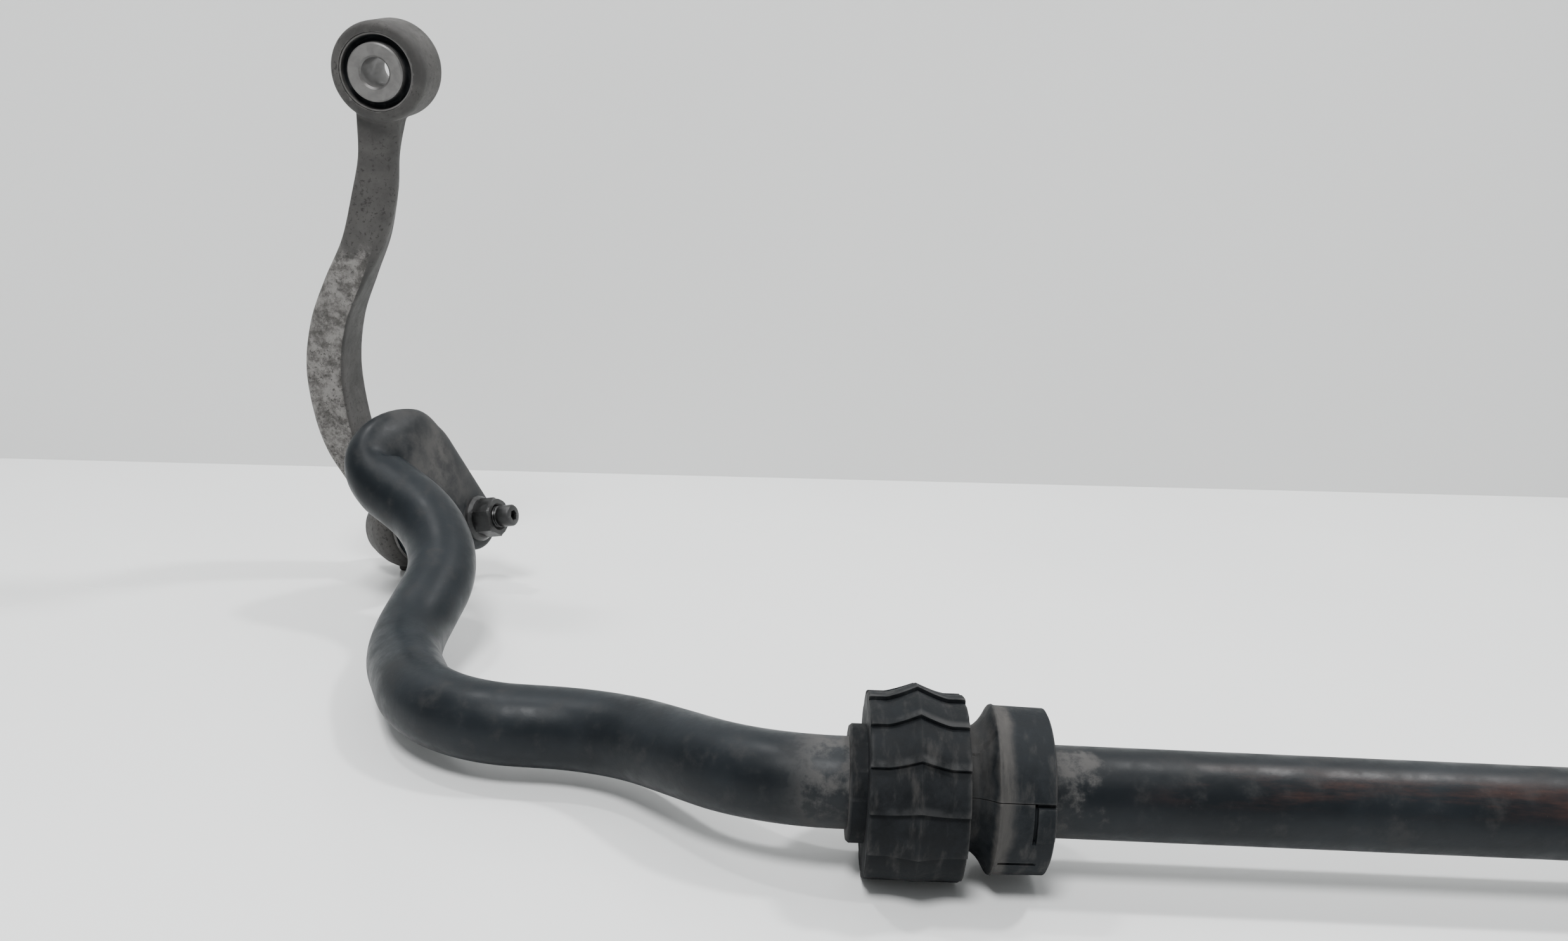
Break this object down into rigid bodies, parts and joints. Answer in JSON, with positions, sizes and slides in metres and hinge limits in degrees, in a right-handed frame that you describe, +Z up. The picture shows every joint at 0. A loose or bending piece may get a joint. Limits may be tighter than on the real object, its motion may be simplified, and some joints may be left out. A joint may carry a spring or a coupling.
{
  "type": "sway bar",
  "caption": "Bent steel sway bar with flattened ends, split rubber bushes, two-piece stop rings, and curved forged end links on ball joints.",
  "frame": {"origin": "middle of the footprint, at the level that the bar stands on", "axes": "+X to the right end, +Y from the straight bar towards the links, +Z up"},
  "size_m": [1.2118, 0.354, 0.2968],
  "materials": {
    "bar_paint": "satin black paint, dusty and rubbed",
    "bush_rubber": "matt moulded rubber",
    "ring_plastic": "matt moulded plastic",
    "forged_alloy": "blasted forging, grimy",
    "bare_steel": "turned steel, dulled",
    "plated_steel": "dark phosphate plating",
    "seat_plastic": "natural moulded plastic",
    "boot_rubber": "soft smooth rubber"
  },
  "bodies": {
    "bar": {"bar": "bar_paint", "left_stop_ring_upper": "ring_plastic", "left_stop_ring_lower": "ring_plastic", "left_ball_stud": "plated_steel", "left_lock_nut": "plated_steel", "right_stop_ring_upper": "ring_plastic", "right_stop_ring_lower": "ring_plastic", "right_ball_stud": "plated_steel", "right_lock_nut": "plated_steel"},
    "left_bush": {"left_bush": "bush_rubber"},
    "left_boot": {"left_dust_boot": "boot_rubber", "left_boot_ring_small": "bare_steel"},
    "left_link": {"left_link_body": "forged_alloy", "left_ball_seat": "seat_plastic", "left_housing_cap": "bare_steel", "left_boot_ring_large": "bare_steel", "left_eye_shell": "bare_steel", "left_eye_rubber": "bush_rubber"},
    "left_eye_sleeve": {"left_eye_sleeve": "bare_steel"},
    "right_bush": {"right_bush": "bush_rubber"},
    "right_boot": {"right_dust_boot": "boot_rubber", "right_boot_ring_small": "bare_steel"},
    "right_link": {"right_link_body": "forged_alloy", "right_ball_seat": "seat_plastic", "right_housing_cap": "bare_steel", "right_boot_ring_large": "bare_steel", "right_eye_shell": "bare_steel", "right_eye_rubber": "bush_rubber"},
    "right_eye_sleeve": {"right_eye_sleeve": "bare_steel"}
  },
  "joints": [
    {"name": "left_bush_turn", "type": "hinge", "parent": "bar", "child": "left_bush", "pos_m": [-0.3004, -0.143, 0.0318], "axis": [1, 0, 0], "range_deg": [-25, 25]},
    {"name": "left_link_swing", "type": "hinge", "parent": "bar", "child": "left_boot", "pos_m": [-0.562, 0.151, 0.026], "axis": [0.9156, -0.3333, 0.225], "range_deg": [-80, 80]},
    {"name": "left_link_tilt", "type": "hinge", "parent": "left_boot", "child": "left_link", "pos_m": [-0.562, 0.151, 0.026], "axis": [0.342, 0.9397, 0], "range_deg": [-16, 16], "deforming": ["left_dust_boot"]},
    {"name": "left_eye_twist", "type": "hinge", "parent": "left_link", "child": "left_eye_sleeve", "pos_m": [-0.5545, 0.119, 0.2712], "axis": [0.1092, 0.9861, 0.1254], "range_deg": [-15, 15], "stiffness_Nm_per_rad": 10, "deforming": ["left_eye_rubber"]},
    {"name": "right_bush_turn", "type": "hinge", "parent": "bar", "child": "right_bush", "pos_m": [0.3004, -0.143, 0.0318], "axis": [1, 0, 0], "range_deg": [-25, 25]},
    {"name": "right_link_swing", "type": "hinge", "parent": "bar", "child": "right_boot", "pos_m": [0.562, 0.151, 0.026], "axis": [0.9156, 0.3333, -0.225], "range_deg": [-80, 80]},
    {"name": "right_link_tilt", "type": "hinge", "parent": "right_boot", "child": "right_link", "pos_m": [0.562, 0.151, 0.026], "axis": [0.342, -0.9397, 0], "range_deg": [-16, 16], "deforming": ["right_dust_boot"]},
    {"name": "right_eye_twist", "type": "hinge", "parent": "right_link", "child": "right_eye_sleeve", "pos_m": [0.5545, 0.119, 0.2712], "axis": [0.1092, -0.9861, -0.1254], "range_deg": [-15, 15], "stiffness_Nm_per_rad": 10, "deforming": ["right_eye_rubber"]}
  ]
}
